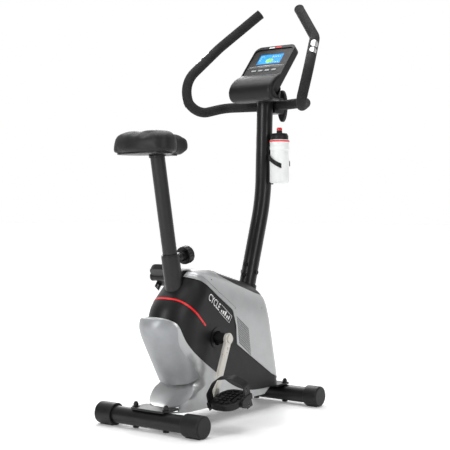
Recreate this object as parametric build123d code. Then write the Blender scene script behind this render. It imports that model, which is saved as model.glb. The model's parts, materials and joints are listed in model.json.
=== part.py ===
from build123d import *
from math import cos, radians, sin
import os

# Upright exercise bike.  +X points the way the rider faces, +Y to the rider's left, +Z up, millimetres.
# Everything is laid out from the axis of the rear stabiliser (X = 0) and the floor (Z = 0), and is moved
# back by FOOTPRINT_MID when it is written, so that the origin is under the middle of the bike.

# ---- driving dimensions -------------------------------------------------------------------------
FOOTPRINT_MID = 296.0
WHEELBASE = 594.0            # between the two stabiliser axes
STABILISER_WIDTH = 384.0     # over the end caps
STABILISER_RADIUS = 25.0
FOOT_RADIUS = 32.0           # end caps
REAR_CAP_LENGTH = 62.0
FRONT_CAP_LENGTH = 48.0
BOLT_SPACING = 112.0         # stabiliser bolts, side to side

BEAM_TOP, BEAM_BOTTOM, BEAM_HALF = 87.0, 63.0, 25.0
SEAT_TUBE_RADIUS = 26.5
SEAT_TUBE_TOP = 490.0
SEAT_LEAN = 0.1973           # rearward travel per unit of height
SEAT_POST_RADIUS = 21.0
SEAT_POST_BOTTOM, SEAT_POST_TOP = 300.0, 772.0
SEAT_HOLE_PITCH = 25.0

POST_RADIUS = 26.0           # front post that carries the handlebar
POST_WALL = 2.5
POST_FOOT = (456.6, 366.0)
POST_KNEE = (550.7, 658.0)
POST_HEAD = (560.9, 968.0)

CRANK_X, CRANK_Z = 205.0, 247.5
CRANK_LENGTH = 179.0
CRANK_LEAN = 22.3            # right crank, degrees rearward of straight down
ARM_INNER, ARM_OUTER = 114.0, 124.0
AXLE_RADIUS = 10.0
PULLEY_RADIUS = 95.0
BELT_CLEAR, BELT_THICK = 0.3, 3.0

FLYWHEEL_X, FLYWHEEL_Z = 362.0, 185.0
FLYWHEEL_RADIUS = 76.0
FLYWHEEL_PULLEY_RADIUS = 22.0
MAGNET_PIVOT_X = FLYWHEEL_X + 66.2
MAGNET_PIVOT_Z = FLYWHEEL_Z + 51.7

PEDAL_INNER, PEDAL_OUTER = 128.0, 222.0
PEDAL_HALF_LENGTH = 52.0
PEDAL_TILT = 17.0            # right pedal, rear edge down
LEFT_PEDAL_TILT = -38.0      # left pedal, rear edge up

SHELL_WALL = 3.0
COVER_THICK = 2.0
ROOF_SLOPE = 14.7            # the casing's roof falls towards the front

BAR_RADIUS = 12.5
GRIP_RADIUS = 16.0
BAR_X, BAR_Z = 600.0, 961.5  # straight middle of the handlebar, which is its tilt axis

CONSOLE_TILT = 49.0          # slope of the console's face
CONSOLE_HALF_WIDTH = 80.0
CONSOLE_LENGTH = 216.0
CONSOLE_THICK = 26.0
CONSOLE_FOOT = (489.0, 997.0)
DISPLAY_AT, BUTTONS_AT = 155.0, 99.0     # up the console's face from its lower edge

BOTTLE_X, BOTTLE_Y = 553.0, -62.0
BOTTLE_RADIUS = 31.5
BOTTLE_BOTTOM = 708.0


# ---- helpers ------------------------------------------------------------------------------------
def rod(start, end, radius):
    """Solid cylinder between two points."""
    start, end = Vector(*start), Vector(*end)
    axis = end - start
    return Solid.make_cylinder(radius, axis.length, Plane(origin=start, z_dir=axis))


def pipe(start, end, outer, inner):
    """Straight tube between two points."""
    start, end = Vector(*start), Vector(*end)
    over = (end - start).normalized()
    return rod(start, end, outer) - rod(start - over, end + over, inner)


def side_face(wire_points, radius=0.0):
    """Face in the side view from (x, z) corners, all rounded by one radius or by a list of radii."""
    corners = [(x, 0, z) for x, z in wire_points]
    if radius:
        outline = FilletPolyline(*corners, radius=radius, close=True)
    else:
        outline = Polyline(*corners, close=True)
    return make_face(outline.edges())


def side_prism(face, y_low, y_high):
    """A side-view face pulled across the bike from y_low to y_high."""
    return extrude(Pos(0, y_low, 0) * face, amount=y_high - y_low, dir=(0, 1, 0))


def block(x_low, x_high, y_low, y_high, z_low, z_high):
    return Pos((x_low + x_high) / 2, (y_low + y_high) / 2, (z_low + z_high) / 2) * Box(
        x_high - x_low, y_high - y_low, z_high - z_low)


def swept_rod(points, radii, radius):
    """Round bar along straight runs joined by tangent arcs."""
    runs = FilletPolyline(*points, radius=radii).edges()
    pieces = [sweep(Plane(origin=run @ 0, z_dir=run % 0) * Circle(radius), path=run) for run in runs]
    return pieces[0].fuse(*pieces[1:]) if len(pieces) > 1 else pieces[0]


def hull_around(*circles):
    """Flat outline of a taut band round circles given as (x, z, radius), in the side view."""
    return make_hull([Pos(x, -z) * Circle(radius).edge() for x, z, radius in circles])


def side_plate(outline, y_low, y_high):
    """Side-view outline made by hull_around, as a plate between two distances across the bike."""
    upright = Plane(origin=(0, y_low, 0), x_dir=(1, 0, 0), z_dir=(0, 1, 0))
    return extrude(upright * outline, amount=y_high - y_low)


def biggest(shape):
    """The main solid of a shape, without slivers left over from cutting."""
    return max(shape.solids(), key=lambda solid: solid.volume)


def both_sides(solid):
    """The solid and its mirror image across the middle plane."""
    return [solid, mirror(solid, about=Plane.XZ)]


def seat_axis(height):
    """Point on the leaning seat tube axis."""
    return Vector(105.9 - SEAT_LEAN * (height - 384.0), 0, height)


PARTS = {}


def keep(name, *items):
    """File solids under their sub-part's name, beside any that are there already."""
    for item in items:
        for piece in item if isinstance(item, list) else [item]:
            PARTS.setdefault(name, []).extend(piece.solids())


# ---- stabilisers --------------------------------------------------------------------------------
def stabiliser(x, cap_length):
    half = STABILISER_WIDTH / 2
    axis_z = FOOT_RADIUS
    tube = pipe((x, -half + 4, axis_z), (x, half - 4, axis_z), STABILISER_RADIUS, STABILISER_RADIUS - 2)
    bolts, holes = [], []
    for y in (-BOLT_SPACING / 2, BOLT_SPACING / 2):
        holes.append(rod((x, y, 0), (x, y, 70), 4.3))
        shank = rod((x, y, 4.5), (x, y, 72), 4)
        head = rod((x, y, 2.5), (x, y, 6.8), 9)
        nut = extrude(Pos(x, y, 65) * RegularPolygon(7.5, 6), amount=7)
        dome = Pos(x, y, 72) * Sphere(6.2)
        washer = rod((x, y, 63), (x, y, 65), 11)
        bolts.append((shank + head + nut + dome + washer).solids())
    for hole in holes:
        tube -= hole
    keep("stabiliser_tubes", tube)
    keep("stabiliser_bolts", *bolts)
    cap = rod((x, half, axis_z), (x, half - cap_length, axis_z), FOOT_RADIUS)
    cap = fillet(cap.edges().filter_by(GeomType.CIRCLE).group_by(Axis.Y)[-1], 5)
    cap = fillet(cap.edges().filter_by(GeomType.CIRCLE).group_by(Axis.Y)[0], 1.5)
    cap += block(x - 13, x + 13, half - cap_length + 6, half - 8, 0, 12)
    cap -= rod((x, half - cap_length - 1, axis_z), (x, half - 4, axis_z), STABILISER_RADIUS)
    keep("stabiliser_caps", *both_sides(cap))


def stabiliser_plate(x, inward):
    """Plate over a stabiliser, with a tongue welded under the beam."""
    reach = sorted((x - inward * 20, x + inward * 52))
    plate = block(*reach, -62, 62, 57, 63)
    plate = fillet(plate.edges().filter_by(Axis.Z), 8)
    tongue = block(*sorted((x + inward * 52, x + inward * 128)), -BEAM_HALF, BEAM_HALF, 57, 63)
    for y in (-BOLT_SPACING / 2, BOLT_SPACING / 2):
        plate -= rod((x, y, 50), (x, y, 70), 4.3)
    return plate + tongue


def post_axis(height):
    """Point on the straight upper run of the front post's axis."""
    rise = (height - POST_KNEE[1]) / (POST_HEAD[1] - POST_KNEE[1])
    return Vector(POST_KNEE[0] + rise * (POST_HEAD[0] - POST_KNEE[0]), 0, height)


# ---- frame --------------------------------------------------------------------------------------
def frame_tubes():
    beam = block(100, 560, -BEAM_HALF, BEAM_HALF, BEAM_BOTTOM, BEAM_TOP)
    beam -= block(102, 558, -BEAM_HALF + 2.5, BEAM_HALF - 2.5, BEAM_BOTTOM + 2.5, BEAM_TOP - 2.5)
    beam = beam + stabiliser_plate(0, 1) + stabiliser_plate(WHEELBASE, -1)
    keep("bottom_beam", beam)

    below, above = seat_axis(60), seat_axis(SEAT_TUBE_TOP)
    tube = pipe(below, above, SEAT_TUBE_RADIUS, SEAT_TUBE_RADIUS - 2.5)
    tube -= block(0, 400, -60, 60, 0, BEAM_TOP)
    pin_root = seat_axis(477.2)
    forward = Vector(0.981, 0, 0.1935)
    boss = rod(pin_root + forward * 20, pin_root + forward * 43, 14)
    tube = tube + boss - rod(below, above, SEAT_TUBE_RADIUS - 2.5)
    tube -= rod(above, seat_axis(SEAT_TUBE_TOP + 30), SEAT_TUBE_RADIUS)
    tube -= rod(pin_root, pin_root + forward * 60, 5.05)
    keep("seat_tube", tube)

    bush = pipe(seat_axis(SEAT_TUBE_TOP - 60), above, SEAT_TUBE_RADIUS - 2.5, SEAT_POST_RADIUS + 0.05)
    lip = pipe(above, seat_axis(SEAT_TUBE_TOP + 5), SEAT_TUBE_RADIUS - 0.8, SEAT_POST_RADIUS + 0.05)
    bush = bush + lip - rod(pin_root, pin_root + forward * 60, 5.05)
    keep("seat_tube_bush", bush)

    shell = rod((CRANK_X, -34, CRANK_Z), (CRANK_X, 34, CRANK_Z), 21)
    web = side_prism(side_face([(138, 290), (205, 262), (215, 240), (240, 88), (190, 88), (180, 200)]), -4, 4)
    bracket = shell + web - rod((CRANK_X, -40, CRANK_Z), (CRANK_X, 40, CRANK_Z), 17)
    bracket -= rod(below, above, SEAT_TUBE_RADIUS)
    bracket -= block(0, 400, -60, 60, 0, BEAM_TOP)
    keep("crank_housing", bracket)
    bearing = pipe((CRANK_X, 22, CRANK_Z), (CRANK_X, 34, CRANK_Z), 17, AXLE_RADIUS + 0.04)
    keep("bearings", *both_sides(bearing))

    line = [(472, 0, 70), (472, 0, 215), (452, 0, 352), (487.6, 0, 462)]
    upright = swept_rod(line, 60, 22.3) - swept_rod(line, 60, 19.8)
    upright -= block(400, 560, -60, 60, 0, BEAM_TOP)
    ear = side_face([(MAGNET_PIVOT_X - 8, MAGNET_PIVOT_Z - 8), (462, MAGNET_PIVOT_Z - 14),
                     (462, MAGNET_PIVOT_Z + 14), (MAGNET_PIVOT_X - 8, MAGNET_PIVOT_Z + 8)], 3)
    upright += side_prism(ear, 14, 17)
    upright += side_prism(ear, -17, -14)
    upright += rod((MAGNET_PIVOT_X, -17, MAGNET_PIVOT_Z), (MAGNET_PIVOT_X, 17, MAGNET_PIVOT_Z), 4)
    keep("front_upright", upright)


def front_post():
    points = [(x, 0, z) for x, z in (POST_FOOT, POST_KNEE, POST_HEAD)]
    post = swept_rod(points, 500, POST_RADIUS) - swept_rod(points, 500, POST_RADIUS - POST_WALL)
    screws = []
    along = Vector(POST_KNEE[0] - POST_FOOT[0], 0, POST_KNEE[1] - POST_FOOT[1]).normalized()
    rearward = Vector(-along.Z, 0, along.X)
    spots = [(46, rearward), (80, rearward), (62, Vector(0, 1, 0)), (62, Vector(0, -1, 0))]
    for distance, outward in spots:
        base = Vector(POST_FOOT[0], 0, POST_FOOT[1]) + along * distance
        post -= rod(base, base + outward * 40, 4.2)
        head = rod(base + outward * (POST_RADIUS + 0.1), base + outward * (POST_RADIUS + 4), 7)
        screws.append(head + rod(base + outward * 22.4, base + outward * (POST_RADIUS + 0.1), 4))
    keep("front_post", post)
    keep("frame_screws", *screws)
    foot = Vector(POST_FOOT[0], 0, POST_FOOT[1])
    collar = pipe(foot + along * 8, foot + along * 22, POST_RADIUS + 4, POST_RADIUS + 0.1)
    keep("post_collar", collar)


# ---- drive --------------------------------------------------------------------------------------
def drive():
    axle = rod((CRANK_X, -ARM_OUTER + 2, CRANK_Z), (CRANK_X, ARM_OUTER - 2, CRANK_Z), AXLE_RADIUS)
    for shoulder in both_sides(rod((CRANK_X, 49, CRANK_Z), (CRANK_X, ARM_INNER, CRANK_Z), 17)):
        axle += shoulder
    keep("crank_axle", axle)

    disc = pipe((CRANK_X, 34.5, CRANK_Z), (CRANK_X, 46, CRANK_Z), PULLEY_RADIUS, AXLE_RADIUS)
    for spoke in range(6):
        turn = radians(60 * spoke)
        centre = (CRANK_X + 58 * cos(turn), CRANK_Z + 58 * sin(turn))
        disc -= rod((centre[0], 30, centre[1]), (centre[0], 50, centre[1]), 22)
    keep("drive_pulley", disc)

    reach_x = CRANK_LENGTH * sin(radians(CRANK_LEAN))
    reach_z = CRANK_LENGTH * cos(radians(CRANK_LEAN))
    for side, sign in (("right", -1), ("left", 1)):
        eye = (CRANK_X + sign * reach_x, CRANK_Z + sign * reach_z)
        low, high = sorted((sign * ARM_INNER, sign * ARM_OUTER))
        arm = side_plate(hull_around((CRANK_X, CRANK_Z, 12.5), (*eye, 11.5)), low, high)
        arm += rod((CRANK_X, low, CRANK_Z), (CRANK_X, high, CRANK_Z), 17.5)
        arm += rod((eye[0], low, eye[1]), (eye[0], high, eye[1]), 13)
        arm = chamfer(arm.faces().sort_by(Axis.Y)[0 if sign < 0 else -1].outer_wire().edges(), 2)
        arm -= rod((CRANK_X, -130, CRANK_Z), (CRANK_X, 130, CRANK_Z), AXLE_RADIUS)
        arm -= rod((eye[0], -130, eye[1]), (eye[0], 130, eye[1]), 7)
        keep("crank_arms", arm)
        spindle = rod((eye[0], sign * (ARM_INNER + 1), eye[1]), (eye[0], sign * (PEDAL_OUTER - 8), eye[1]), 7)
        spindle += rod((eye[0], sign * ARM_OUTER, eye[1]), (eye[0], sign * (ARM_OUTER + 3), eye[1]), 10)
        keep("pedal_spindles", spindle)
        pedal(side, sign, eye)
    cap = rod((CRANK_X, ARM_OUTER - 1.8, CRANK_Z), (CRANK_X, ARM_OUTER + 3, CRANK_Z), 9.9)
    cap += rod((CRANK_X, ARM_OUTER, CRANK_Z), (CRANK_X, ARM_OUTER + 3, CRANK_Z), 12)
    keep("crank_bolt_caps", *both_sides(cap))

    hub = (FLYWHEEL_X, FLYWHEEL_Z)
    wheel = pipe((hub[0], -11, hub[1]), (hub[0], 11, hub[1]), FLYWHEEL_RADIUS, 8)
    for face in (-1, 1):
        wheel -= pipe((hub[0], face * 4, hub[1]), (hub[0], face * 12, hub[1]), FLYWHEEL_RADIUS - 16, 20)
    keep("flywheel", wheel)
    shaft = rod((hub[0], -27, hub[1]), (hub[0], 48, hub[1]), 8)
    keep("flywheel_shaft", shaft + rod((hub[0], 32, hub[1]), (hub[0], 47, hub[1]), FLYWHEEL_PULLEY_RADIUS))
    plate_outline = hull_around((*hub, 19), (hub[0] - 32, 90, 3), (hub[0] + 32, 90, 3))
    plates, rings = [], []
    for low in (-23, 19):
        plate = side_plate(plate_outline, low, low + 4)
        plate -= rod((hub[0], low - 5, hub[1]), (hub[0], low + 9, hub[1]), 14)
        plates.append(plate)
        rings.append(pipe((hub[0], low, hub[1]), (hub[0], low + 4, hub[1]), 14, 8.04))
    keep("flywheel_bracket", *plates)
    keep("bearings", *rings)

    def loop(grow, low, high):
        outline = hull_around((CRANK_X, CRANK_Z, PULLEY_RADIUS + grow), (*hub, FLYWHEEL_PULLEY_RADIUS + grow))
        return side_plate(outline, low, high)

    keep("drive_belt", loop(BELT_CLEAR + BELT_THICK, 34.6, 45.6) - loop(BELT_CLEAR, 30, 50))

    pivot = (MAGNET_PIVOT_X, MAGNET_PIVOT_Z)
    sweep_band = side_face([(FLYWHEEL_X, FLYWHEEL_Z), (FLYWHEEL_X + 140, FLYWHEEL_Z + 109),
                            (FLYWHEEL_X, FLYWHEEL_Z + 200), (FLYWHEEL_X - 150, FLYWHEEL_Z + 87)])
    arc = pipe((hub[0], -13, hub[1]), (hub[0], 13, hub[1]), 89, 84) & side_prism(sweep_band, -20, 20)
    eye = rod((pivot[0], -13, pivot[1]), (pivot[0], 13, pivot[1]), 7)
    arc = arc + eye - rod((hub[0], -20, hub[1]), (hub[0], 20, hub[1]), 80)
    arc -= rod((pivot[0], -20, pivot[1]), (pivot[0], 20, pivot[1]), 4.05)
    keep("magnet_bracket", arc)
    magnets = []
    for angle in (65, 85, 105, 125):
        centre = (FLYWHEEL_X + 81.2 * cos(radians(angle)), FLYWHEEL_Z + 81.2 * sin(radians(angle)))
        magnet = Pos(centre[0], 0, centre[1]) * Rot(0, -angle, 0) * Box(5, 18, 16)
        magnets.append(magnet & pipe((hub[0], -10, hub[1]), (hub[0], 10, hub[1]), 84, 78))
    keep("brake_magnets", *magnets)
    keep("resistance_motor", fillet(block(285, 345, -22, 18, 300, 345).edges(), 3))


# ---- pedals -------------------------------------------------------------------------------------
def pedal(side, sign, eye):
    """Pedal deck on its spindle, with a tread, an end boss and a strap that arches over the foot."""
    middle = (PEDAL_INNER + PEDAL_OUTER) / 2
    half_width = (PEDAL_OUTER - PEDAL_INNER) / 2
    outline = RectangleRounded(2 * PEDAL_HALF_LENGTH, 2 * half_width, 36)
    deck = extrude(Pos(0, 0, -6) * outline, amount=19)
    deck = fillet(deck.edges().group_by(Axis.Z)[-1], 2.5)
    deck = fillet(deck.edges().group_by(Axis.Z)[0], 4)
    barrel = rod((0, -half_width, 0), (0, half_width, 0), 13.5)
    deck += barrel
    boss_y = sign * half_width
    deck += rod((0, boss_y, 0), (0, boss_y + sign * 8, 0), 14)
    tread = []
    for step in range(12):
        tread.append(Rot(0, 0, 30 * step) * Pos(37, 0, 14) * Box(9, 13, 5))
    for row in (-20, -7, 7, 20):
        for column in (-15, 0, 15):
            tread.append(Pos(row, column, 14) * Box(8, 10, 5))
    for piece in tread:
        deck += piece
    deck -= rod((0, -sign * 60, 0), (0, sign * (half_width - 6), 0), 7.05)
    deck += Pos(28, sign * (half_width - 5), 3) * Box(34, 12, 16)
    deck += Pos(-28, -sign * (half_width - 5), 3) * Box(34, 10, 16)

    # The strap rises from the inner side behind the spindle and comes down the outer side ahead of it.
    thick, width, lead = 2.4, 25.0, 28.0
    reach = half_width - 4

    def arch(grow):
        corners = [(-reach - grow, -14), (-reach - grow, 36), (-reach * 0.5, 74 + grow), (reach * 0.4, 71 + grow),
                   (reach + grow, 45), (reach + grow, -26)]
        return FilletPolyline(*[(0, sign * u, v) for u, v in corners], radius=20 + grow)

    outer_line, inner_line = arch(thick), arch(0)
    ends = [Line(outer_line @ 0, inner_line @ 0), Line(outer_line @ 1, inner_line @ 1)]
    band_face = make_face(outer_line.edges() + inner_line.edges() + ends)
    band = extrude(Pos(-70, 0, 0) * band_face, amount=140, dir=(1, 0, 0))
    far = reach + 12
    shift = lead * far / reach
    slanted = Polyline((-shift - width / 2, -sign * far), (-shift + width / 2, -sign * far),
                       (shift + width / 2, sign * far), (shift - width / 2, sign * far), close=True)
    band = band & extrude(Pos(0, 0, -50) * make_face(slanted.edges()), amount=150)
    for height in (-21, -14, 24, 32):
        band -= rod((lead, sign * (reach - 10), height), (lead, sign * (reach + 10), height), 2.2)
    place = Pos(eye[0], sign * middle, eye[1]) * Rot(0, -(PEDAL_TILT if side == "right" else LEFT_PEDAL_TILT), 0)
    deck = deck - band - rod((0, sign * (-half_width - 20), 0), (0, -sign * half_width, 0), 30)
    keep("pedal_" + side, biggest(place * deck))
    keep("pedal_strap_" + side, place * band)


# ---- casing -------------------------------------------------------------------------------------
def plan_outline(rear, front, half, rear_round, front_round):
    """Casing seen from above: elliptical tail and nose joined by straight sides."""
    tail = EllipticalCenterArc((rear + rear_round, 0), rear_round, half, 90, arc_size=180)
    nose = EllipticalCenterArc((front - front_round, 0), front_round, half, -90, arc_size=180)
    sides = [Line(tail @ 1, nose @ 0), Line(nose @ 1, tail @ 0)]
    return make_face([tail.edge(), sides[0].edge(), nose.edge(), sides[1].edge()])


# Upper casing, cut by planes parallel to the roof:
# height above the floor line, tail, nose, half width, tail rounding, nose rounding.
ROOF_CUTS = (
    (120, -45, 560, 78, 90, 60), (160, -46, 543, 78, 90, 60), (200, -48, 526, 78, 90, 60),
    (240, -50, 509, 78, 90, 60), (280, -53, 488, 78, 90, 60), (316, -55, 469, 78, 90, 60),
    (346, -50, 453, 78, 88, 60), (374, -36, 437, 77.5, 84, 58), (400, -18, 423, 76, 76, 56),
    (425, -4, 410, 72, 70, 54), (447, 4, 398, 65, 62, 50), (465, 17, 384, 54, 54, 44),
    (480, 62, 358, 38, 40, 34), (489, 118, 325, 20, 22, 20),
)
# Lower casing, cut by level planes: height, tail, nose, half width, tail rounding, nose rounding.
LEVEL_CUTS = (
    (45, 38, 505, 66, 70, 50), (60, 34, 520, 71, 70, 50), (80, 33, 535, 75, 70, 55), (100, 48, 545, 77, 72, 60),
    (122, 84, 548, 78.5, 78, 60), (145, 72, 546, 79.5, 84, 60), (168, 58, 541, 79.5, 88, 60),
    (205, 34, 535, 79.5, 90, 60), (240, 13, 528, 79.5, 90, 60), (262, 1, 520, 79.5, 90, 60),
    (285, -7, 512, 79.5, 90, 60), (305, -1, 505, 79.5, 90, 60), (338, 32, 495, 79.5, 88, 60),
)


def upper_body(grow):
    slope = radians(ROOF_SLOPE)
    cuts = []
    for height, rear, front, half, tail, nose in ROOF_CUTS:
        lift = grow if height > 470 else 0
        level = height + lift
        plane = Plane(origin=(level * sin(slope), 0, level * cos(slope)), x_dir=(cos(slope), 0, -sin(slope)),
                      z_dir=(sin(slope), 0, cos(slope)))
        cuts.append(plane * plan_outline(rear - grow, front + grow, half + grow, tail + grow, nose + grow))
    return loft(cuts)


def lower_body(grow):
    cuts = []
    for height, rear, front, half, tail, nose in LEVEL_CUTS:
        cuts.append(Pos(0, 0, height) * plan_outline(rear - grow, front + grow, half + grow, tail + grow, nose + grow))
    return loft(cuts)


def panel_body():
    """The rear panel's outer surface: a straight slope that rounds over at the top."""
    cuts = []
    for height, rear in ((90, 96.5), (115, 81.8), (140, 67), (165, 52.4), (190, 37.7), (215, 23), (240, 8.3),
                         (265, -5), (290, -11.5), (315, -4)):
        cuts.append(Pos(0, 0, height) * plan_outline(rear, 540, 82, 92, 60))
    return loft(cuts)


def boundary_curve():
    """Side view of the seam between the black shells and the silver rear cover and skirt."""
    return Spline((-60, 0, 324), (14, 0, 319), (34, 0, 304), (48, 0, 279), (76, 0, 238), (126, 0, 195),
                  (193, 0, 151), (265, 0, 108), (341, 0, 78), (410, 0, 69), (580, 0, 66))


def region_above_seam():
    seam = boundary_curve()
    rest = Polyline((580, 0, 66), (580, 0, 560), (-60, 0, 560), (-60, 0, 324))
    return make_face(seam.edges() + rest.edges())


def region_below_seam():
    seam = boundary_curve()
    rest = Polyline((580, 0, 66), (580, 0, 20), (-60, 0, 20), (-60, 0, 324))
    return make_face(seam.edges() + rest.edges())


def front_cover_region():
    """Side view of the silver front cover: all that lies ahead of its inner edge."""
    inner = FilletPolyline((60, 0, 436), (118, 0, 429), (150, 0, 417), (209, 0, 372), (281, 0, 324), (297, 0, 276),
                           (301, 0, 220), (486, 0, 108), (600, 0, 60), radius=[20, 30, 120, 12, 30, 8, 60])
    rest = Polyline((600, 0, 60), (600, 0, 520), (60, 0, 520), (60, 0, 436))
    return make_face(inner.edges() + rest.edges())


def casing():
    outer, inner = upper_body(0), upper_body(-SHELL_WALL)
    nose_cut = side_prism(side_face([(553, 112), (529, 60), (700, 0), (700, 400), (553, 400)]), -200, 200)
    above = side_prism(region_above_seam(), -200, 200)
    body = (outer & above) - inner - nose_cut
    seat_hole = rod(seat_axis(300), seat_axis(520), SEAT_TUBE_RADIUS + 1.2)
    foot, knee = Vector(POST_FOOT[0], 0, POST_FOOT[1]), Vector(POST_KNEE[0], 0, POST_KNEE[1])
    along = (knee - foot).normalized()
    post_hole = rod(foot - along * 60, foot + along * 200, POST_RADIUS + 4.2)
    crank_hole = rod((CRANK_X, -120, CRANK_Z), (CRANK_X, 120, CRANK_Z), 31)
    body = body - seat_hole - post_hole - crank_hole
    left_half = side_prism(side_face([(-200, 0), (700, 0), (700, 700), (-200, 700)]), 0, 200)
    right_half = side_prism(side_face([(-200, 0), (700, 0), (700, 700), (-200, 700)]), -200, 0)
    keep("shell_right", biggest(body & right_half))
    keep("shell_left", biggest(body & left_half))

    ring = pipe((CRANK_X, 73, CRANK_Z), (CRANK_X, 80, CRANK_Z), 30.8, 21)
    keep("crank_trim_rings", *both_sides(ring))

    skin = upper_body(COVER_THICK) - outer
    spine = Polyline((40, 0), (40, 22), (150, 23), (220, 34), (320, 54), (420, 60), (620, 60), (620, 0), close=True)
    cover = skin & side_prism(front_cover_region(), 10, 200)
    cover -= extrude(make_face(spine.edges()), amount=700)
    cover = cover - nose_cut - seat_hole - post_hole
    cover = biggest(cover)
    groove_line = FilletPolyline((128, 0, 436), (158, 0, 425), (214, 0, 381), (292, 0, 329), radius=[30, 120])
    groove_face = make_face(offset(groove_line, 3.6, side=Side.BOTH).edges())
    keep_under = upper_body(COVER_THICK - 1.2)
    cover -= side_prism(groove_face, 20, 200) - keep_under
    louvres = []
    for step in range(14):
        z = 304 - step * 6.0
        x = 299 + step * 0.9
        louvres.append(side_face([(x, z), (x + 62, z - 44), (x + 62, z - 46.8), (x, z - 2.8)]))
    for slot in louvres:
        cover -= side_prism(slot, 60, 100)
    for x, z in ((196, 418), (437, 318)):
        cover -= rod((x, 30, z), (x, 100, z), 2.0)
    keep("front_cover_left", biggest(cover))
    keep("front_cover_right", mirror(biggest(cover), about=Plane.XZ))

    lower = lower_body(0)
    scoop_line = FilletPolyline((128, 0, 142), (76, 0, 69.4), (20, 0, 61), radius=100)
    scoop_rest = Polyline((20, 0, 61), (-60, 0, 61), (-60, 0, 112), (70, 0, 119), (99, 0, 124), (128, 0, 142))
    scoop_face = make_face(scoop_line.edges() + scoop_rest.edges())
    scoop = side_prism(scoop_face, -200, 200)
    scoop_inside = side_prism(offset(scoop_face, SHELL_WALL), -200, 200)
    below = side_prism(region_below_seam(), -200, 200)
    cavity = lower_body(-SHELL_WALL) - scoop_inside
    cover = ((lower & below) - scoop) - cavity - block(-200, 700, -200, 200, 0, 45.5) - nose_cut
    cover -= block(-30, 60, -66, 66, 50, 63.4) + block(50, 130, -25.4, 25.4, 50, 63.4)
    cover -= block(99.6, 600, -25.4, 25.4, 40, 87.4)
    cover -= rod(seat_axis(50), seat_axis(330), SEAT_TUBE_RADIUS + 0.4)
    keep("rear_cover", biggest(cover))

    panel_line = Spline((-60, 0, 313), (14, 0, 312), (32, 0, 290), (38, 0, 262), (77, 0, 201), (128, 0, 142))
    panel_rest = Polyline((128, 0, 142), (99, 0, 124), (70, 0, 119), (-60, 0, 112), (-60, 0, 313))
    panel_face = make_face(panel_line.edges() + panel_rest.edges())
    panel = (panel_body() - lower) & side_prism(panel_face, -200, 200)
    keep("rear_panel", biggest(panel))

    stripe_line = FilletPolyline((-60, 0, 373), (64, 0, 371), (149, 0, 290), radius=40)
    stripe_face = make_face(offset(stripe_line, 2.9, side=Side.BOTH).edges())
    stripe = (upper_body(0.7) - outer) & side_prism(stripe_face, -200, 200)
    stripe -= seat_hole
    keep("red_stripe", biggest(stripe))


# ---- seat ---------------------------------------------------------------------------------------
def seat():
    low, high = seat_axis(SEAT_POST_BOTTOM), seat_axis(SEAT_POST_TOP)
    post = pipe(low, high, SEAT_POST_RADIUS, SEAT_POST_RADIUS - 2)
    forward = Vector(0.981, 0, 0.1935)
    upward = (high - low).normalized()
    pin_root = seat_axis(477.2)
    for step in range(-3, 8):
        spot = pin_root + upward * (SEAT_HOLE_PITCH * step)
        post -= rod(spot, spot + forward * 40, 5.2)
    keep("seat_post", post)

    rear_corner, hip, waist, nose = (-66, 101), (4, 101), (60, 38), (152, 28)
    half = [(-84, 20), rear_corner, hip, waist, nose]
    rounds = [20, 42, 58, 80, 27]
    outline = FilletPolyline(*half, *[(x, -y) for x, y in half[::-1]], radius=rounds + rounds[::-1], close=True)
    base_face = make_face(outline.edges())
    pan_face = offset(base_face, -14)
    pan = extrude(Pos(0, 0, 777) * pan_face, amount=4) & block(-200, 92, -200, 200, 700, 800)
    head = rod(seat_axis(SEAT_POST_TOP), seat_axis(779), SEAT_POST_RADIUS + 3)
    keep("seat_pan", (pan + head) & block(-200, 300, -200, 200, 700, 781))
    cushion = extrude(Pos(0, 0, 781.3) * base_face, amount=54)
    cushion = fillet(cushion.edges().group_by(Axis.Z)[-1], 18)
    cushion = fillet(cushion.edges().group_by(Axis.Z)[0], 6)
    keep("saddle", cushion)
    tip = pin_root + forward * (SEAT_POST_RADIUS + 0.4)
    keep("seat_pin", rod(tip, pin_root + forward * 67.6, 5))
    centre = pin_root + forward * 68
    knob = rod(centre - forward * 12, centre + forward * 12, 26.5)
    knob = fillet(knob.edges().filter_by(GeomType.CIRCLE), 3)
    knob += rod(centre - forward * 24, centre - forward * 12, 15)
    knob -= rod(centre - forward * 30, centre, 5.05)
    lift_dir = forward.cross(Vector(0, 1, 0))
    for step in range(12):
        turn = radians(30 * step)
        spot = centre + (Vector(0, 1, 0) * cos(turn) + lift_dir * sin(turn)) * 28.4
        knob -= rod(spot - forward * 20, spot + forward * 30, 3.6)
    keep("seat_knob", knob)


# ---- handlebar ----------------------------------------------------------------------------------
BAR_POINTS = ((BAR_X, 45, BAR_Z), (559.8, 161, 960.5), (450.7, 203.2, 931.2), (430.5, 245.1, 1027.6),
              (563.9, 188.1, 1161.6), (642.2, 79.9, 1271.9))
BAR_BENDS = (110, 60, 57, 104, 66)      # at each of the corners but the tip


def mirrored(points):
    return [(x, -y, z) for x, y, z in points]


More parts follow.
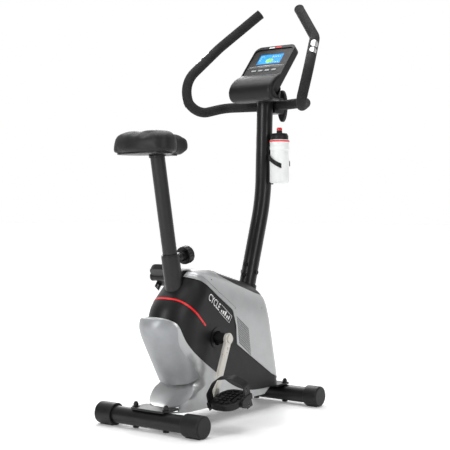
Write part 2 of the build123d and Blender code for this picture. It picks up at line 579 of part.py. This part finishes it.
def handlebar():
    half = list(BAR_POINTS)
    full = mirrored(half)[::-1] + half
    radii = list(BAR_BENDS)[::-1] + list(BAR_BENDS)
    bends = list(BAR_BENDS[::-1]) + list(BAR_BENDS)
    tube = swept_rod(full, bends, BAR_RADIUS) - swept_rod(full, bends, BAR_RADIUS - 2)
    keep("handlebar_tube", tube)
    for flip in (1, -1):
        corners = [Vector(x, flip * y, z) for x, y, z in BAR_POINTS]
        tip = corners[-1]
        along = (tip - corners[-2]).normalized()
        foam_end, bore_end = Vector(BAR_X, flip * 24.6, BAR_Z), Vector(BAR_X, flip * 12, BAR_Z)
        sleeve = swept_rod([tuple(point) for point in (foam_end, *corners)], BAR_BENDS, GRIP_RADIUS)
        bore = swept_rod([tuple(point) for point in (bore_end, *corners[:-1], tip + along * 20)],
                         BAR_BENDS, BAR_RADIUS + 0.02)
        keep("grips", sleeve - bore)
        cap = rod(tip + along * 0.02, tip + along * 7, GRIP_RADIUS + 0.6)
        keep("grip_caps", fillet(cap.edges().filter_by(GeomType.CIRCLE), 2.5))
        low, high = corners[3], corners[4]
        axis = (high - low).normalized()
        outward = Vector(-0.75, flip * 0.66, 0)
        outward = (outward - axis * outward.dot(axis)).normalized()
        middle = low + axis * (high - low).length * 0.62
        facing = Plane(origin=middle, x_dir=tuple(axis), z_dir=tuple(outward))
        for centre_at, half_length in ((-15, 13), (20, 17)):
            outline = facing * Pos(centre_at, 0) * SlotOverall(2 * half_length, 22)
            petal = pipe(middle + axis * (centre_at - 25), middle + axis * (centre_at + 25),
                         GRIP_RADIUS + 1.6, GRIP_RADIUS + 0.02)
            keep("pulse_sensors", petal & extrude(outline, amount=30, dir=tuple(outward)))

    block_face = side_face([(582, 936), (632, 936), (638, 944), (638, 980), (630, 988), (582, 988)], 3)
    clamp = side_prism(block_face, -24, 24) - rod((BAR_X, -60, BAR_Z), (BAR_X, 60, BAR_Z), BAR_RADIUS + 0.05)
    clamp -= rod(post_axis(880), post_axis(1010), POST_RADIUS + 0.05)
    clamp -= rod((600, 0, 966), (660, 0, 966), 5.05)
    keep("handlebar_clamp", clamp)
    wing_plane = Plane(origin=(655, 0, 966), x_dir=(0, 1, 0), z_dir=(1, 0, 0))
    wing = extrude(wing_plane * Ellipse(17, 52.5), amount=16)
    wing = fillet(wing.edges(), 4)
    knob = wing + rod((641, 0, 966), (672, 0, 966), 15) + rod((BAR_X + 13.2, 0, 966), (668, 0, 966), 5)
    keep("clamp_knob", knob)


# ---- console ------------------------------------------------------------------------------------
def console_plane(offset_out=0.0):
    """Plane on the console's face: x runs up the face, y to the rider's left, z out of the face."""
    slope = radians(CONSOLE_TILT)
    out = Vector(-sin(slope), 0, cos(slope))
    origin = Vector(CONSOLE_FOOT[0], 0, CONSOLE_FOOT[1]) + out * offset_out
    return Plane(origin=origin, x_dir=(cos(slope), 0, sin(slope)), z_dir=tuple(out))


def console():
    face = console_plane()
    outline = Pos(CONSOLE_LENGTH / 2, 0) * RectangleRounded(CONSOLE_LENGTH, 2 * CONSOLE_HALF_WIDTH, 24)
    body = extrude(Pos(0, 0, -CONSOLE_THICK) * outline, amount=CONSOLE_THICK + 3)
    body = fillet(body.edges().group_by(Axis.Z)[0], 6)
    body = fillet(body.edges().group_by(Axis.Z)[-1], 2)
    recess = Pos(CONSOLE_LENGTH / 2 - 4, 0) * RectangleRounded(CONSOLE_LENGTH - 20, 2 * CONSOLE_HALF_WIDTH - 8, 18)
    body -= extrude(recess, amount=10)
    well = Pos(DISPLAY_AT, 0) * RectangleRounded(46, 92, 2)
    body -= extrude(Pos(0, 0, -6) * well, amount=10)
    buttons = []
    for place in range(4):
        y = 39 - 26 * place
        buttons.append((BUTTONS_AT, y))
        body -= Pos(BUTTONS_AT, y, 0) * Box(7.4, 17.4, 14)
    keep("console_body", face.location * body)
    glass = extrude(Pos(DISPLAY_AT, 0, -5.8) * RectangleRounded(45.6, 91.6, 2), amount=5)
    keep("display", face.location * glass)
    for number, (x, y) in enumerate(buttons, 1):
        button = Pos(x, y, -1) * Box(6.8, 16.8, 6)
        keep("console_button_%d" % number, face.location * fillet(button.edges().group_by(Axis.Z)[-1], 0.8))

    bulge = Spline((545, 0, 1061), (509, 0, 1046), (481, 0, 1024), (470, 0, 1000), (475, 0, 979), (492, 0, 967))
    rest = Polyline((492, 0, 967), (530, 0, 967), (545, 0, 1061))
    hood = extrude(Pos(0, -84, 0) * make_face(bulge.edges() + rest.edges()), amount=168, dir=(0, 1, 0))
    hood = fillet(hood.faces().sort_by(Axis.Y)[0].edges() + hood.faces().sort_by(Axis.Y)[-1].edges(), 12)
    envelope = extrude(Pos(0, 0, -CONSOLE_THICK - 0.2) * Pos(CONSOLE_LENGTH / 2, 0)
                       * RectangleRounded(CONSOLE_LENGTH + 0.4, 2 * CONSOLE_HALF_WIDTH + 20, 12), amount=CONSOLE_THICK + 3.4)
    hood -= face.location * envelope
    hood -= rod(post_axis(880), post_axis(1010), POST_RADIUS + 0.5)

    stem = block(548, 573, -18, 18, 970, 1060)
    under = face.location * (Pos(60, 0, -CONSOLE_THICK - 2.1) * Box(90, 90, 4))
    stem -= face.location * (Pos(60, 0, 100 - CONSOLE_THICK - 2) * Box(600, 300, 200))
    bracket = under + stem
    bracket = bracket + block(541, 581, -20, 20, 968.9, 972)
    keep("console_bracket", biggest(bracket))
    keep("console_hood", biggest(hood - bracket))


# ---- bottle -------------------------------------------------------------------------------------
def revolved(profile):
    """Turned solid on the bottle's axis from (radius, height) corners."""
    corners = [(BOTTLE_X + r, BOTTLE_Y, z) for r, z in profile]
    face = make_face(Polyline(*corners, close=True).edges())
    return revolve(face, axis=Axis((BOTTLE_X, BOTTLE_Y, 0), (0, 0, 1)))


def bottle():
    z = BOTTLE_BOTTOM
    r = BOTTLE_RADIUS
    body = revolved([(0, z), (r - 4, z), (r - 0.5, z + 4), (r - 0.5, z + 72), (r - 2.5, z + 96), (r - 2.5, z + 104),
                     (r - 0.5, z + 107), (r - 0.5, z + 116), (r - 1.5, z + 118), (r - 1.5, z + 128), (r, z + 130),
                     (r, z + 136), (r - 2, z + 138), (0, z + 138)])
    keep("bottle_body", body)
    cap = revolved([(0, z + 138.3), (r - 3, z + 138.3), (r - 3, z + 150), (r - 7, z + 158), (9, z + 160),
                    (9, z + 167), (6.05, z + 167), (6.05, z + 150), (0, z + 150)])
    keep("bottle_cap", cap)
    nozzle = revolved([(0, z + 152), (6, z + 152), (6, z + 168), (9, z + 168), (9, z + 173), (7, z + 177), (0, z + 177)])
    keep("bottle_nozzle", nozzle)

    inner, outer = r + 0.7, r + 3.7
    tray = revolved([(0, z - 3.5), (outer - 8, z - 3.5), (outer - 8, z - 0.0), (0, z - 0.0)])
    tray -= block(BOTTLE_X - 60, BOTTLE_X + 60, BOTTLE_Y - 60, BOTTLE_Y - 10, 600, 800)
    band = revolved([(inner, z - 10), (outer, z - 10), (outer, z + 150), (inner, z + 150)])
    slab = Plane(origin=(BOTTLE_X, BOTTLE_Y, z + 72), z_dir=(-0.144, -0.625, 1)) * Box(140, 140, 12)
    reach = block(BOTTLE_X - 60, BOTTLE_X + 60, BOTTLE_Y - 23, BOTTLE_Y + 60, 600, 900)
    band = band & slab & reach
    spine = block(BOTTLE_X - 13, BOTTLE_X + 13, -29.5, -25.9, z - 3.5, z + 120)
    cage = tray + band + spine - rod((BOTTLE_X, BOTTLE_Y, z), (BOTTLE_X, BOTTLE_Y, z + 200), inner)
    cage -= swept_rod([(x, 0, zz) for x, zz in (POST_FOOT, POST_KNEE, POST_HEAD)], 500, POST_RADIUS)
    keep("bottle_cage", biggest(cage))


# ---- build and write ----------------------------------------------------------------------------
stabiliser(0, REAR_CAP_LENGTH)
stabiliser(WHEELBASE, FRONT_CAP_LENGTH)
frame_tubes()
front_post()
drive()
casing()
seat()
handlebar()
console()
bottle()

os.makedirs("parts", exist_ok=True)
for name, solids in PARTS.items():
    placed = [Pos(-FOOTPRINT_MID, 0, 0) * solid for solid in solids]
    export_step(placed[0] if len(placed) == 1 else Compound(children=placed), "parts/%s.step" % name)
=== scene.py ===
import json
import math
import bmesh
import bpy
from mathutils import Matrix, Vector
from mathutils.bvhtree import BVHTree


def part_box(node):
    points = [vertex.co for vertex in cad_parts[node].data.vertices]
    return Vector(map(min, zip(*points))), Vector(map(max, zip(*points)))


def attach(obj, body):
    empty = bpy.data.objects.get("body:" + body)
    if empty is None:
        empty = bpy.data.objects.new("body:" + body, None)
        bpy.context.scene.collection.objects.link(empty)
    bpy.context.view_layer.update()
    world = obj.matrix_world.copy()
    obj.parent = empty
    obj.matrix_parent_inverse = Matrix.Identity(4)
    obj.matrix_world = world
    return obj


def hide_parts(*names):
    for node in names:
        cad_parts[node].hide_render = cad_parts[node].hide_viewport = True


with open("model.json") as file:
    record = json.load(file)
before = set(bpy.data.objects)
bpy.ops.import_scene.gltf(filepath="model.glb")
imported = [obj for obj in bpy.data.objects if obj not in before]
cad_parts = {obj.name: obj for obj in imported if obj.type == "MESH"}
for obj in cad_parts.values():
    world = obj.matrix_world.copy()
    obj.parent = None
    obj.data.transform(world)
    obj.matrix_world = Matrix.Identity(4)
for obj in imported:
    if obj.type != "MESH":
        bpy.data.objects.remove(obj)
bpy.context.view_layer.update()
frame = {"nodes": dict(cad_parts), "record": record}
NODES = frame["nodes"]
MID = 0.296          # the rear stabiliser's axis lies this far behind the origin


def at(x, y, z):
    """Point from millimetres ahead of the rear stabiliser, to the left and up."""
    return Vector((x / 1000 - MID, y / 1000, z / 1000))


def clamped(value):
    return max(0.0, min(1.0, value))


# ---- camera and light ---------------------------------------------------------------------------
CAMERA_AT = (-2205.1, -1925.6, 619.3)
CAMERA_YAW, CAMERA_PITCH = math.radians(37.04), math.radians(-0.78)
CAMERA_LENS = 83.17                 # for a sensor 36 mm wide

scene = bpy.context.scene
camera = bpy.data.objects.new("camera", bpy.data.cameras.new("camera"))
scene.collection.objects.link(camera)
camera.location = at(*CAMERA_AT)
look = Vector((math.cos(CAMERA_YAW) * math.cos(CAMERA_PITCH),
               math.sin(CAMERA_YAW) * math.cos(CAMERA_PITCH),
               math.sin(CAMERA_PITCH)))
camera.rotation_euler = look.to_track_quat("-Z", "Y").to_euler()
camera.data.lens = CAMERA_LENS
camera.data.sensor_width = 36
camera.data.clip_end = 100
scene.camera = camera

scene.view_settings.view_transform = "Standard"

# The white room is dimmer in its half behind the camera, so that dark surfaces keep their contrast.
ROOM_BEHIND, ROOM_AHEAD = 0.16, 1.0
ROOM_FADE = (-0.1, 0.75)            # cosines of the angle from the view between which it brightens


def studio_world():
    world = bpy.data.worlds.new("studio")
    scene.world = world
    world.use_nodes = True
    tree = world.node_tree
    place = tree.nodes.new("ShaderNodeTexCoord")
    dot = tree.nodes.new("ShaderNodeVectorMath")
    dot.operation = "DOT_PRODUCT"
    dot.inputs[1].default_value = (math.cos(CAMERA_YAW), math.sin(CAMERA_YAW), 0)
    tree.links.new(place.outputs["Generated"], dot.inputs[0])
    ramp = tree.nodes.new("ShaderNodeMapRange")
    ramp.interpolation_type = "SMOOTHSTEP"
    ramp.inputs["From Min"].default_value, ramp.inputs["From Max"].default_value = ROOM_FADE
    ramp.inputs["To Min"].default_value = ROOM_BEHIND
    ramp.inputs["To Max"].default_value = ROOM_AHEAD
    tree.links.new(dot.outputs["Value"], ramp.inputs["Value"])
    background = tree.nodes["Background"]
    tree.links.new(ramp.outputs["Result"], background.inputs["Strength"])
    background.inputs["Color"].default_value = (1, 1, 1, 1)


studio_world()


def softbox(name, place, target, width, height, watts):
    light = bpy.data.lights.new(name, "AREA")
    light.shape = "RECTANGLE"
    light.size, light.size_y, light.energy = width, height, watts
    lamp = bpy.data.objects.new(name, light)
    scene.collection.objects.link(lamp)
    lamp.location = place
    lamp.rotation_euler = (Vector(target) - Vector(place)).to_track_quat("-Z", "Y").to_euler()


softbox("key", (-0.9, -3.0, 1.9), (0, 0, 0.5), 0.6, 2.2, 30)
softbox("side", (-3.0, 0.2, 1.5), (0, 0, 0.5), 0.6, 2.2, 48)
softbox("top", (0.2, 0.2, 3.2), (0, 0, 0.4), 2.6, 2.6, 70)
softbox("rim", (1.8, 1.8, 1.9), (0, 0, 0.7), 1.2, 1.8, 30)


# ---- materials ----------------------------------------------------------------------------------
TONE_SCALE, WEAR_SCALE = 28.0, 55.0         # noise scales of the tone and of the roughness
RELIEF_DEPTH = 0.0006
LOW_GLOSS = 0.32                            # specular level of the black finishes


def finish_of(name, colour, rough, metallic=0.0, grain=900.0, bump=0.05, mottle=0.12,
              wear=0.08, coat=0.0, emission=0.0, detail="noise", gloss=0.5):
    """Principled surface whose tone, roughness and relief vary with fine procedural textures."""
    material = bpy.data.materials.new(name)
    material.use_nodes = True
    tree = material.node_tree
    shader = tree.nodes["Principled BSDF"]
    shader.inputs["Metallic"].default_value = metallic
    shader.inputs["Specular IOR Level"].default_value = gloss
    shader.inputs["Coat Weight"].default_value = coat
    shader.inputs["Coat Roughness"].default_value = 0.12
    place = tree.nodes.new("ShaderNodeTexCoord")

    def noise(scale, depth):
        node = tree.nodes.new("ShaderNodeTexNoise")
        node.inputs["Scale"].default_value = scale
        node.inputs["Detail"].default_value = depth
        tree.links.new(place.outputs["Object"], node.inputs["Vector"])
        return node

    tone = tree.nodes.new("ShaderNodeValToRGB")
    ends = tone.color_ramp.elements
    ends[0].color = (*[max(0.0, c * (1 - mottle)) for c in colour], 1)
    ends[1].color = (*[min(1.0, c * (1 + mottle)) for c in colour], 1)
    ends[0].position, ends[1].position = 0.35, 0.65
    tree.links.new(noise(TONE_SCALE, 3.0).outputs["Fac"], tone.inputs["Fac"])
    tree.links.new(tone.outputs["Color"], shader.inputs["Base Color"])
    spread = tree.nodes.new("ShaderNodeMapRange")
    spread.inputs["To Min"].default_value = max(0.02, rough - wear)
    spread.inputs["To Max"].default_value = min(1.0, rough + wear)
    tree.links.new(noise(WEAR_SCALE, 4.0).outputs["Fac"], spread.inputs["Value"])
    tree.links.new(spread.outputs["Result"], shader.inputs["Roughness"])
    relief = tree.nodes.new("ShaderNodeBump")
    relief.inputs["Strength"].default_value = bump
    relief.inputs["Distance"].default_value = RELIEF_DEPTH
    if detail == "voronoi":
        cells = tree.nodes.new("ShaderNodeTexVoronoi")
        cells.inputs["Scale"].default_value = grain
        tree.links.new(place.outputs["Object"], cells.inputs["Vector"])
        tree.links.new(cells.outputs["Distance"], relief.inputs["Height"])
    else:
        tree.links.new(noise(grain, 2.0).outputs["Fac"], relief.inputs["Height"])
    tree.links.new(relief.outputs["Normal"], shader.inputs["Normal"])
    if emission:
        tree.links.new(tone.outputs["Color"], shader.inputs["Emission Color"])
        shader.inputs["Emission Strength"].default_value = emission
    return material


FINISH = {}


def finish(name, *look_of, **more):
    FINISH[name] = finish_of(name, *look_of, **more)


finish("black_steel", (0.007, 0.007, 0.0075), 0.36, grain=1400, bump=0.10, coat=0.1,
       gloss=LOW_GLOSS)
finish("black_plastic", (0.006, 0.006, 0.0065), 0.42, grain=1100, bump=0.12, gloss=LOW_GLOSS)
finish("silver_plastic", (0.44, 0.445, 0.45), 0.33, 0.55, grain=2600, bump=0.03, mottle=0.03,
       coat=0.3)
finish("grey_plastic", (0.30, 0.31, 0.32), 0.4, 0.35, grain=1700, bump=0.05, mottle=0.05)
finish("red_plastic", (0.75, 0.012, 0.015), 0.3, grain=900, bump=0.02, mottle=0.05)
finish("white_plastic", (0.82, 0.83, 0.83), 0.36, grain=700, bump=0.04, mottle=0.03)
finish("bolt_steel", (0.50, 0.50, 0.51), 0.28, 0.95, grain=800, bump=0.08)
finish("ivory_steel", (0.58, 0.56, 0.51), 0.3, 0.45, grain=1500, bump=0.04, mottle=0.04,
       coat=0.3)
finish("cast_flywheel", (0.16, 0.16, 0.17), 0.4, 0.9, grain=500, bump=0.2)
finish("belt_rubber", (0.012, 0.012, 0.012), 0.7, grain=600, bump=0.2)
finish("strap_rubber", (0.012, 0.012, 0.013), 0.38, grain=900, bump=0.1, gloss=LOW_GLOSS)
finish("grip_foam", (0.012, 0.012, 0.012), 0.78, grain=900, bump=0.6, detail="voronoi",
       gloss=LOW_GLOSS)
finish("saddle_cover", (0.008, 0.008, 0.0085), 0.5, grain=420, bump=0.35, detail="voronoi",
       gloss=LOW_GLOSS)
finish("sensor_plate", (0.60, 0.60, 0.61), 0.22, 0.95, grain=1600, bump=0.05, mottle=0.03)
finish("display_glass", (0.002, 0.19, 0.50), 0.3, grain=1200, bump=0.02, mottle=0.10,
       emission=0.85, gloss=0.2)
finish("display_green", (0.16, 0.50, 0.05), 0.3, mottle=0.15, emission=0.6)
finish("display_white", (0.45, 0.62, 0.70), 0.3, mottle=0.05, emission=0.5)
finish("white_ink", (0.80, 0.80, 0.80), 0.45, grain=1500, bump=0.05, mottle=0.04)
finish("silver_ink", (0.45, 0.46, 0.47), 0.35, 0.6, grain=1500, bump=0.05, mottle=0.05)


def paint(thing, name):
    thing.data.materials.clear()
    thing.data.materials.append(FINISH[name])


for part in frame["record"]["subparts"]:
    paint(NODES[part["node"]], part["material_slot"])


# ---- small mesh helpers -------------------------------------------------------------------------
def piece(name, mesh, body, surface, smooth=True):
    thing = bpy.data.objects.new(name, mesh)
    scene.collection.objects.link(thing)
    for polygon in mesh.polygons:
        polygon.use_smooth = smooth
    paint(thing, surface)
    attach(thing, body)


def piece_from(name, build, body, surface, smooth):
    bmesh.ops.recalc_face_normals(build, faces=build.faces)
    data = bpy.data.meshes.new(name)
    build.to_mesh(data)
    build.free()
    piece(name, data, body, surface, smooth)


SUNK = 0.0002            # how far a raised shape reaches below the surface that it stands on


def flat_shapes(name, shapes, plane, thick, body, surface):
    """Thin raised shapes: each is a list of (u, v) corners in millimetres on a plane that is
    given as its origin and the directions of u, v and out."""
    origin, along, across, out = plane
    build = bmesh.new()
    for corners in shapes:
        flat = [origin + (along * u + across * v) / 1000 for u, v in corners]
        low = [build.verts.new(point - out * SUNK) for point in flat]
        high = [build.verts.new(point + out * thick) for point in flat]
        build.faces.new(high)
        build.faces.new(low[::-1])
        for i in range(len(corners)):
            j = (i + 1) % len(corners)
            build.faces.new((low[i], low[j], high[j], high[i]))
    piece_from(name, build, body, surface, smooth=False)


# ---- saddle -------------------------------------------------------------------------------------
CLOTH_FRAMES, CLOTH_PRESSURE = 20, 4.0
CUSHION_VOXEL = 0.005
SWELL = 0.007                       # the furthest that the cover swells from the moulded shape
RIM_HEIGHT = 0.015                  # the channel and the nose's drop fade out down to this height
CHANNEL_DEPTH, CHANNEL_WIDTH = 0.004, 0.016
NOSE_DROP, NOSE_RISE = 0.004, 0.016
FADE_LENGTH = 0.09                  # run along the saddle over which its rear or its nose begins
REAR_STARTS, NOSE_STARTS = 40, 60   # millimetres ahead of the rear stabiliser
CROWN_TAPER = 0.08                  # how far the top draws in over the base


def blow_up(thing):
    """Twenty frames of cloth under pressure."""
    cloth = thing.modifiers.new("cloth", "CLOTH")
    cloth.settings.use_pressure = True
    cloth.settings.uniform_pressure_force = CLOTH_PRESSURE
    cloth.settings.effector_weights.gravity = 0
    cloth.settings.quality = 6
    cloth.point_cache.frame_start, cloth.point_cache.frame_end = 1, CLOTH_FRAMES
    for step in range(1, CLOTH_FRAMES + 1):
        scene.frame_set(step)
    bpy.ops.object.modifier_apply(modifier="cloth")
    scene.frame_set(1)


def saddle():
    """Cushion blown up as cloth over its moulded shape, with a channel between two rear lobes."""
    low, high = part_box("saddle")
    thing = bpy.data.objects.new("saddle_cushion", NODES["saddle"].data.copy())
    scene.collection.objects.link(thing)
    bpy.context.view_layer.objects.active = thing
    thing.select_set(True)
    remesh = thing.modifiers.new("remesh", "REMESH")
    remesh.mode = "VOXEL"
    remesh.voxel_size = CUSHION_VOXEL
    bpy.ops.object.modifier_apply(modifier="remesh")
    rest = [v.co.copy() for v in thing.data.vertices]
    blow_up(thing)
    middle = (low + high) / 2
    height = high.z - low.z
    for vertex, was in zip(thing.data.vertices, rest):
        shift = vertex.co - was
        if shift.length > SWELL:
            shift = shift * (SWELL / shift.length)
        new = was + shift
        up = clamped((was.z - low.z - RIM_HEIGHT) / (height - RIM_HEIGHT))
        rear = clamped((at(REAR_STARTS, 0, 0).x - was.x) / FADE_LENGTH)
        nose = clamped((was.x - at(NOSE_STARTS, 0, 0).x) / FADE_LENGTH)
        channel = math.exp(-(was.y / CHANNEL_WIDTH) ** 2) * up * (0.35 + 0.65 * rear)
        crown = max(0.0, (was.z - low.z) / height) ** 2
        new.x += (middle.x - new.x) * CROWN_TAPER * crown
        new.y += (middle.y - new.y) * CROWN_TAPER * crown
        new.z -= CHANNEL_DEPTH * channel
        new.z -= NOSE_DROP * nose * up
        new.z += NOSE_RISE * (nose ** 2) * (1 - up)
        new.z = max(new.z, low.z - 0.0005)
        vertex.co = new
    smooth = thing.modifiers.new("smooth", "SMOOTH")
    smooth.factor, smooth.iterations = 0.5, 4
    bpy.ops.object.modifier_apply(modifier="smooth")
    subdivide = thing.modifiers.new("subdivide", "SUBSURF")
    subdivide.levels = 1
    bpy.ops.object.modifier_apply(modifier="subdivide")
    for polygon in thing.data.polygons:
        polygon.use_smooth = True
    thing.select_set(False)
    paint(thing, "saddle_cover")
    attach(thing, "seat")
    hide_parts("saddle")


saddle()


# ---- console graphics ---------------------------------------------------------------------------
FACE_SLOPE = math.radians(49)
UP_FACE = Vector((math.cos(FACE_SLOPE), 0, math.sin(FACE_SLOPE)))
LEFT = Vector((0, 1, 0))
OUT = Vector((-math.sin(FACE_SLOPE), 0, math.cos(FACE_SLOPE)))
FOOT = at(489, 0, 997)              # middle of the face's lower edge
DISPLAY_AT = 155                    # up the face from its lower edge
PRINT_HEIGHT, LINE_HEIGHT, BADGE_HEIGHT = 0.0003, 0.0004, 0.0034
LINE_HALF, LINE_BOW = 70, 5         # half length of the lines under the display, and their rise


def face_plane(up, out):
    return FOOT + UP_FACE * (up / 1000) + OUT * (out / 1000), UP_FACE, LEFT, OUT


def bar(u0, u1, v0, v1):
    return [(u0, v0), (u1, v0), (u1, v1), (u0, v1)]


def disc(u, v, radius, count=24):
    turns = [2 * math.pi * i / count for i in range(count)]
    return [(u + radius * math.cos(turn), v + radius * math.sin(turn)) for turn in turns]


def swoosh(rise, thick, points=28):
    """Bowed line that thins towards its ends."""
    line = []
    for i in range(points + 1):
        v = -LINE_HALF + 2 * LINE_HALF * i / points
        bow = math.cos(v / LINE_HALF * math.pi / 2)
        line.append((rise + LINE_BOW * bow, v, thick * (0.25 + 0.75 * bow)))
    return [(u, v) for u, v, _ in line] + [(u - width, v) for u, v, width in line[::-1]]


screen = face_plane(DISPLAY_AT, -0.8)
white = [bar(13, 15, 28, 41), bar(4, 6, 34, 41), bar(-5, -3, 34, 41)]
for k in range(5):
    right, left = -8 - 7 * k, -6 - 7 * k
    white.append(bar(7, 15 - 0.8 * k, right, left))
    white.append(bar(-17, -14 + 1.2 * (k % 3), right, left))
flat_shapes("display_graph", [disc(-8, 4, 10), disc(-6, -6, 8)], screen, PRINT_HEIGHT, "frame",
            "display_green")
flat_shapes("display_digits", white, screen, PRINT_HEIGHT, "frame", "display_white")

face = face_plane(0, 0)
flat_shapes("console_badge_white", [bar(204, 209, 2, 24)], face, BADGE_HEIGHT, "frame",
            "white_ink")
flat_shapes("console_badge_red", [bar(204, 209, -24, 0)], face, BADGE_HEIGHT, "frame",
            "red_plastic")
flat_shapes("console_lines", [swoosh(119, 2.0), swoosh(113, 1.0)], face, LINE_HEIGHT, "frame",
            "silver_ink")


# ---- bottle's coloured ring ---------------------------------------------------------------------
RING_BULGE, RING_DEPTH = 0.0009, 0.0010


def ring(name, centre, radius, low, high, body, surface, count=72):
    """Band with a rounded section round a vertical axis."""
    section = []
    for i in range(9):
        swing = math.pi * i / 8
        section.append((radius + RING_BULGE * math.sin(swing),
                        low + (high - low) * (1 - math.cos(swing)) / 2))
    section += [(radius - RING_DEPTH, high), (radius - RING_DEPTH, low)]
    build = bmesh.new()
    rows = []
    for i in range(count):
        turn = 2 * math.pi * i / count
        rows.append([build.verts.new((centre.x + r * math.cos(turn),
                                      centre.y + r * math.sin(turn), z)) for r, z in section])
    for i in range(count):
        here, after_it = rows[i], rows[(i + 1) % count]
        for j in range(len(section)):
            k = (j + 1) % len(section)
            build.faces.new((here[j], after_it[j], after_it[k], here[k]))
    piece_from(name, build, body, surface, smooth=True)


ring("bottle_ring", at(553, -62, 0), 0.0315, 0.8385, 0.8436, "bottle", "red_plastic")


# ---- wordmark on the shells ---------------------------------------------------------------------
WORD = "CYCLE"
WORD_LONG, WORD_TALL = 0.062, 0.022
LABEL_LONG = 0.127                  # the word and the box after it
LABEL_START = (163.4, 0, 364.6)
LABEL_TURN = math.radians(-37.6)
LABEL_HEIGHT = 0.0004               # above the shell
LABEL_THICK = 0.0005
BOX = ((0.066, 0.127, -0.001, 0.0), (0.066, 0.127, 0.022, 0.023), (0.126, 0.127, 0.0, 0.022))
CHART = ((0.072, 0.078, 0.010), (0.082, 0.088, 0.014), (0.092, 0.098, 0.019),
         (0.104, 0.110, 0.012), (0.114, 0.119, 0.017))
CHART_FOOT = 0.004


def lettering(name):
    """The word's faces, flat in x and y, with their lower left corner near the origin."""
    font = bpy.data.curves.new(name, "FONT")
    font.body = WORD
    font.size = 0.030
    font.resolution_u = 3
    text = bpy.data.objects.new(name + "_text", font)
    scene.collection.objects.link(text)
    depsgraph = bpy.context.evaluated_depsgraph_get()
    mesh = bpy.data.meshes.new_from_object(text.evaluated_get(depsgraph))
    bpy.data.objects.remove(text)
    build = bmesh.new()
    build.from_mesh(mesh)
    width = max(v.co.x for v in build.verts)
    tall = max(v.co.y for v in build.verts)
    for v in build.verts:
        v.co.x *= WORD_LONG / width
        v.co.y *= WORD_TALL / tall
    return build


def wordmark(name, side, shell):
    """A plain word and a boxed bar chart laid on the shell's curved side."""
    tree = BVHTree.FromPolygons([v.co for v in NODES[shell].data.vertices],
                                [p.vertices for p in NODES[shell].data.polygons])
    build = lettering(name)
    bars = [(u0, u1, CHART_FOOT, top) for u0, u1, top in CHART]
    for shape in (*BOX, *bars):
        build.faces.new([build.verts.new((u, w, 0)) for u, w in bar(*shape)])
    long_edges = [e for e in build.edges if e.calc_length() > 0.01]
    bmesh.ops.subdivide_edges(build, edges=long_edges, cuts=4, use_grid_fill=True)
    start = at(*LABEL_START)
    along = Vector((math.cos(LABEL_TURN), 0, math.sin(LABEL_TURN)))
    rise = Vector((-math.sin(LABEL_TURN), 0, math.cos(LABEL_TURN)))
    for v in build.verts:
        u = v.co.x if side < 0 else LABEL_LONG - v.co.x
        flat = start + along * u + rise * v.co.y
        hit, _, _, _ = tree.ray_cast(Vector((flat.x, side * 0.2, flat.z)), Vector((0, -side, 0)))
        if hit:
            v.co = hit + Vector((0, side * LABEL_HEIGHT, 0))
        else:
            v.co = Vector((flat.x, side * 0.078, flat.z))
    solid = bmesh.ops.extrude_face_region(build, geom=build.faces[:])
    for v in [g for g in solid["geom"] if isinstance(g, bmesh.types.BMVert)]:
        v.co.y -= side * LABEL_THICK
    piece_from(name, build, "frame", "white_ink", smooth=False)


wordmark("wordmark_right", -1, "shell_right")
wordmark("wordmark_left", 1, "shell_left")


# ---- floor --------------------------------------------------------------------------------------
FLOOR_HALF = 40
GLOW_STARTS, GLOW_FULL = 0.4, 3.5           # distances from the bike, in metres
GLOW_NEAR, GLOW_FAR = 0.12, 0.62


def floor():
    """Pale floor that glows more with distance, so that it runs into the white room."""
    corners = [(-1, -1), (1, -1), (1, 1), (-1, 1)]
    mesh = bpy.data.meshes.new("floor")
    mesh.from_pydata([(x * FLOOR_HALF, y * FLOOR_HALF, 0) for x, y in corners], [], [(0, 1, 2, 3)])
    thing = bpy.data.objects.new("floor", mesh)
    scene.collection.objects.link(thing)
    thing.location.z = -0.0002
    material = finish_of("pale_floor", (0.90, 0.90, 0.90), 0.6, grain=60, bump=0.0, mottle=0.005,
                         emission=GLOW_NEAR)
    thing.data.materials.append(material)
    tree = material.node_tree
    spot = tree.nodes.new("ShaderNodeTexCoord")
    away = tree.nodes.new("ShaderNodeVectorMath")
    away.operation = "LENGTH"
    fade = tree.nodes.new("ShaderNodeMapRange")
    fade.interpolation_type = "SMOOTHSTEP"
    fade.inputs["From Min"].default_value = GLOW_STARTS
    fade.inputs["From Max"].default_value = GLOW_FULL
    fade.inputs["To Min"].default_value, fade.inputs["To Max"].default_value = GLOW_NEAR, GLOW_FAR
    tree.links.new(spot.outputs["Object"], away.inputs[0])
    tree.links.new(away.outputs["Value"], fade.inputs["Value"])
    shader = tree.nodes["Principled BSDF"]
    tree.links.new(fade.outputs["Result"], shader.inputs["Emission Strength"])


floor()
